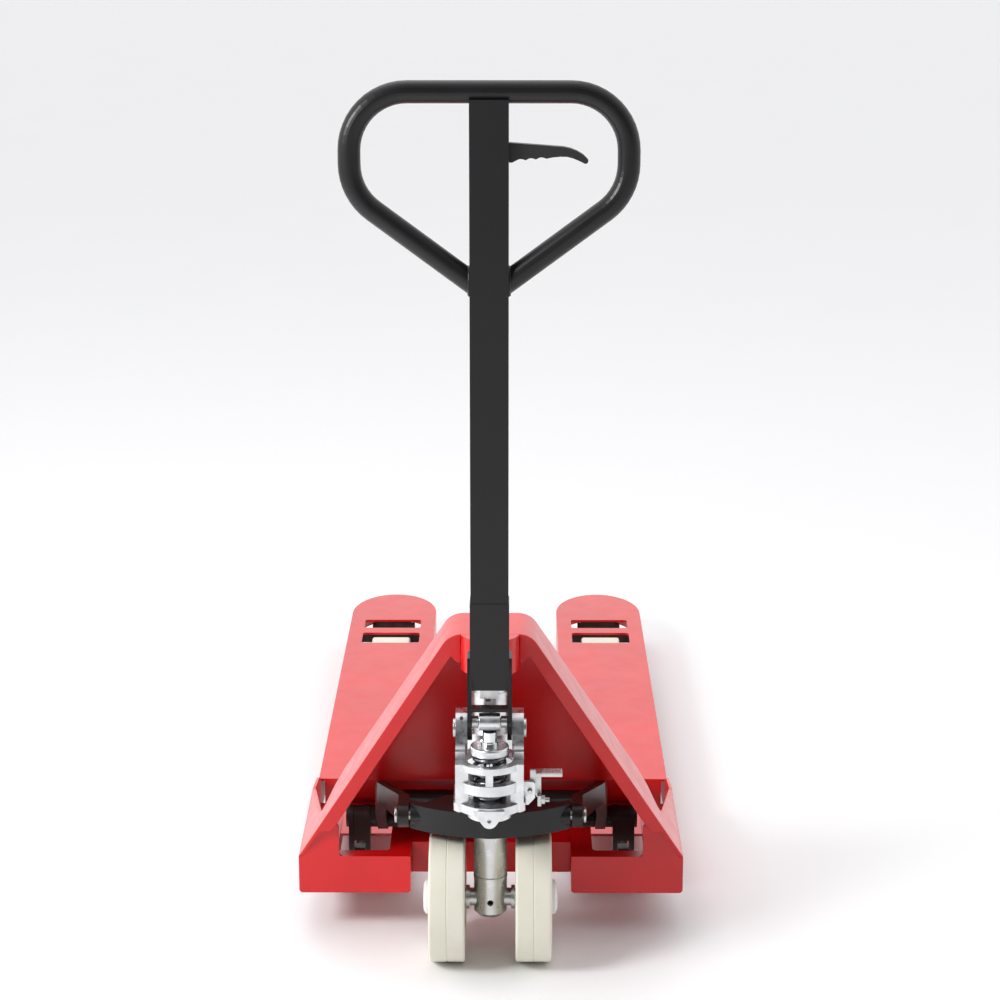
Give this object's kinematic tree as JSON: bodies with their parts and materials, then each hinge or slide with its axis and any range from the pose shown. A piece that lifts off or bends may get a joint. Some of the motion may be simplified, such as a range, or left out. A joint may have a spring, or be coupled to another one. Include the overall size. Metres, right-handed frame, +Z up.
{
  "type": "pallet jack",
  "caption": "Hand pallet truck with a tilting pump handle, steered wheels, an A-shaped frame and forks raised by a rocker and swinging load rollers.",
  "frame": {"origin": "on the floor, under the middle of the overall length and width", "axes": "+Y towards the fork tips, +Z up, +X to the operator's right when facing the forks from the handle"},
  "size_m": [0.55, 1.615, 1.233],
  "materials": {
    "red_paint": "semi-gloss powder coat",
    "black_paint": "satin powder coat",
    "black_plastic": "fine grain",
    "dark_steel": "oiled, dark",
    "zinc": "bright zinc plate",
    "steel": "turned",
    "chrome": "ground and plated",
    "spring_steel": "wound wire",
    "nylon": "turned ivory nylon",
    "white_plastic": "smooth"
  },
  "bodies": {
    "chassis": {"left_fork": "red_paint", "right_fork": "red_paint", "fork_stiffeners": "red_paint", "left_tip_brace": "dark_steel", "right_tip_brace": "dark_steel", "left_heel_box": "red_paint", "right_heel_box": "red_paint", "frame_strap": "red_paint", "platform_hood": "red_paint", "upper_rear_wall": "red_paint", "lower_rear_wall": "red_paint", "load_face": "red_paint", "cross_member": "red_paint", "ram_seat": "red_paint", "ram": "chrome", "rocker_lugs": "red_paint", "bracket_pins": "steel"},
    "yoke": {"yoke": "black_paint", "yoke_pins": "steel", "yoke_bearing": "steel"},
    "pump": {"steering_tube": "steel", "axle": "steel", "axle_pin": "dark_steel", "pump_cylinder": "zinc", "pump_cage": "zinc", "plunger_guide": "steel", "handle_pins": "steel", "lug_plate": "zinc", "base_bolts": "steel", "filler_plug": "dark_steel", "plunger_spring": "spring_steel"},
    "left_wheel": {"left_wheel": "nylon", "left_hub_cap": "white_plastic", "left_wheel_bearing": "steel"},
    "right_wheel": {"right_wheel": "nylon", "right_hub_cap": "white_plastic", "right_wheel_bearing": "steel"},
    "plunger": {"plunger": "chrome", "spring_cap": "zinc"},
    "release": {"release_pedal": "steel", "release_nut": "steel"},
    "handle": {"handle_bracket": "black_paint", "column": "black_paint", "handle_loop": "black_paint", "roller_pin": "steel", "trigger_pin": "steel"},
    "pump_roller": {"pump_roller": "zinc"},
    "trigger": {"trigger": "black_plastic"},
    "control_rod": {"control_rod": "steel"},
    "rocker": {"rocker": "black_paint", "lever_pins": "steel", "cross_tube": "black_paint"},
    "left_bracket": {"left_swing_bracket": "black_paint", "left_roller_axle": "steel"},
    "right_bracket": {"right_swing_bracket": "black_paint", "right_roller_axle": "steel"},
    "left_rod": {"left_push_rod": "dark_steel"},
    "right_rod": {"right_push_rod": "dark_steel"},
    "left_load_roller": {"left_load_roller": "nylon"},
    "right_load_roller": {"right_load_roller": "nylon"}
  },
  "joints": [
    {"name": "lift", "type": "slide", "parent": "chassis", "child": "yoke", "axis": [0, 0, -1], "range_m": [0, 0.115]},
    {"name": "steer", "type": "hinge", "parent": "yoke", "child": "pump", "pos_m": [0, -0.6465, 0.212], "axis": [0, 0, 1], "range_deg": [-50, 50]},
    {"name": "left_wheel_spin", "type": "hinge", "parent": "pump", "child": "left_wheel", "pos_m": [-0.06, -0.6465, 0.09], "axis": [1, 0, 0], "continuous": true},
    {"name": "right_wheel_spin", "type": "hinge", "parent": "pump", "child": "right_wheel", "pos_m": [0.06, -0.6465, 0.09], "axis": [1, 0, 0], "continuous": true},
    {"name": "handle_tilt", "type": "hinge", "parent": "pump", "child": "handle", "pos_m": [0, -0.7325, 0.373], "axis": [1, 0, 0], "range_deg": [0, 70], "stiffness_Nm_per_rad": 60, "springref_deg": -8.59},
    {"name": "pump_stroke", "type": "slide", "parent": "pump", "child": "plunger", "axis": [0, 0, -1], "range_m": [0, 0.0346], "deforming": ["plunger_spring"]},
    {"name": "pump_roller_spin", "type": "hinge", "parent": "handle", "child": "pump_roller", "pos_m": [0, -0.75708, 0.39021], "axis": [1, 0, 0], "continuous": true},
    {"name": "trigger_pull", "type": "hinge", "parent": "handle", "child": "trigger", "pos_m": [0.012, -0.7365, 1.146], "axis": [0, 1, 0], "range_deg": [-12, 12], "stiffness_Nm_per_rad": 1.5},
    {"name": "control_rod_slide", "type": "slide", "parent": "handle", "child": "control_rod", "axis": [0, 0, 1], "range_m": [-0.003, 0.003]},
    {"name": "release_turn", "type": "hinge", "parent": "pump", "child": "release", "pos_m": [0.054, -0.7615, 0.295], "axis": [0, 1, 0], "range_deg": [-7, 7]},
    {"name": "rocker_turn", "type": "hinge", "parent": "chassis", "child": "rocker", "pos_m": [0, -0.4285, 0.122], "axis": [1, 0, 0], "range_deg": [0, 29.3]},
    {"name": "left_bracket_swing", "type": "hinge", "parent": "chassis", "child": "left_bracket", "pos_m": [-0.195, 0.40556, 0.044], "axis": [1, 0, 0], "range_deg": [-56.7, 0]},
    {"name": "left_rod_swing", "type": "hinge", "parent": "left_bracket", "child": "left_rod", "pos_m": [-0.195, 0.39186, 0.06945], "axis": [1, 0, 0], "range_deg": [0, 56.7]},
    {"name": "left_roller_spin", "type": "hinge", "parent": "left_bracket", "child": "left_load_roller", "pos_m": [-0.195, 0.5455, 0.04], "axis": [1, 0, 0], "continuous": true},
    {"name": "right_bracket_swing", "type": "hinge", "parent": "chassis", "child": "right_bracket", "pos_m": [0.195, 0.40556, 0.044], "axis": [1, 0, 0], "range_deg": [-56.7, 0]},
    {"name": "right_rod_swing", "type": "hinge", "parent": "right_bracket", "child": "right_rod", "pos_m": [0.195, 0.39186, 0.06945], "axis": [1, 0, 0], "range_deg": [0, 56.7]},
    {"name": "right_roller_spin", "type": "hinge", "parent": "right_bracket", "child": "right_load_roller", "pos_m": [0.195, 0.5455, 0.04], "axis": [1, 0, 0], "continuous": true}
  ],
  "couplings": [
    {"joint": "pump_stroke", "follows": "handle_tilt", "m_per_rad": 0.02817},
    {"joint": "control_rod_slide", "follows": "trigger_pull", "m_per_rad": 0.0139},
    {"joint": "release_turn", "follows": "trigger_pull", "ratio": 0.5},
    {"joint": "rocker_turn", "follows": "lift", "rad_per_m": 4.4349},
    {"joint": "left_bracket_swing", "follows": "lift", "rad_per_m": -8.5862},
    {"joint": "left_rod_swing", "follows": "lift", "rad_per_m": 8.5862},
    {"joint": "right_bracket_swing", "follows": "lift", "rad_per_m": -8.5862},
    {"joint": "right_rod_swing", "follows": "lift", "rad_per_m": 8.5862}
  ]
}
